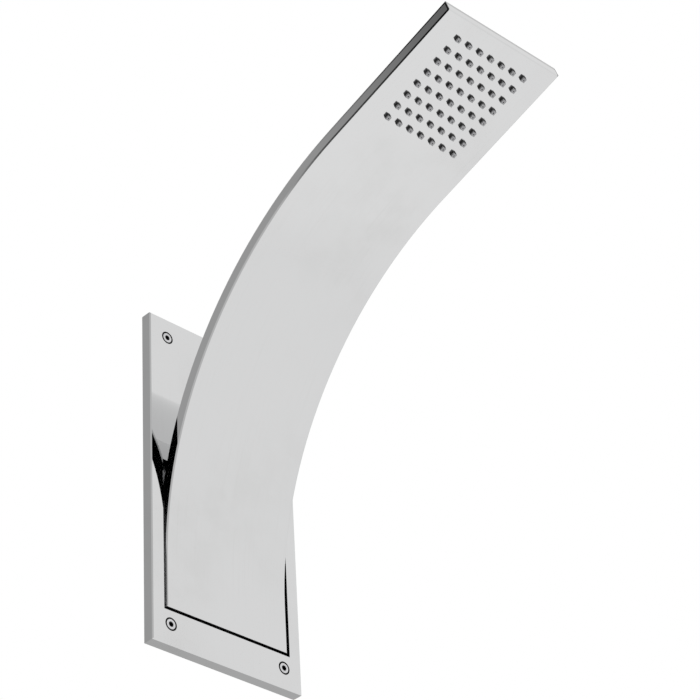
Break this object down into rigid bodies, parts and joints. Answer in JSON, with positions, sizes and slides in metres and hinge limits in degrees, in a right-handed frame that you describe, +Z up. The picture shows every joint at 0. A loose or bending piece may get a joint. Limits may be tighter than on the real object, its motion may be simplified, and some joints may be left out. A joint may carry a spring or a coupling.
{
  "type": "wall shower head",
  "caption": "Wall-mounted shower head: a flat polished blade rises from a window in its wall plate and curves out over the user to a field of square nozzles.",
  "frame": {"origin": "centre of the four wall screws, on the wall's surface", "axes": "+X to the right along the wall, +Y into the wall, +Z up; the blade reaches into the room along -Y"},
  "size_m": [0.15, 0.372, 0.4089],
  "materials": {
    "polished_steel": "mirror polished stainless steel",
    "plain_steel": "mill finish stainless sheet",
    "screw_steel": "bright stainless fasteners",
    "cast_brass": "machined casting",
    "nozzle_silicone": "soft grey silicone",
    "seal_rubber": "black sealing rubber",
    "moulded_plastic": "moulded natural plastic"
  },
  "bodies": {
    "root": {"wall_plate": "polished_steel", "wall_screws": "screw_steel", "wall_seal": "seal_rubber", "base_bracket": "plain_steel", "bracket_screws": "screw_steel", "blade_face": "polished_steel", "blade_shell": "polished_steel", "seat_bars": "plain_steel", "blade_screws": "screw_steel", "inlet_body": "cast_brass", "inlet_grommet": "seal_rubber", "inlet_strainer": "plain_steel", "flow_regulator": "moulded_plastic", "regulator_ring": "seal_rubber", "feed_duct": "plain_steel", "lower_duct_seal": "seal_rubber", "upper_duct_seal": "seal_rubber", "duct_saddles": "moulded_plastic", "chamber_cover": "plain_steel", "nozzle_mat": "nozzle_silicone", "chamber_nuts": "screw_steel"}
  },
  "joints": []
}
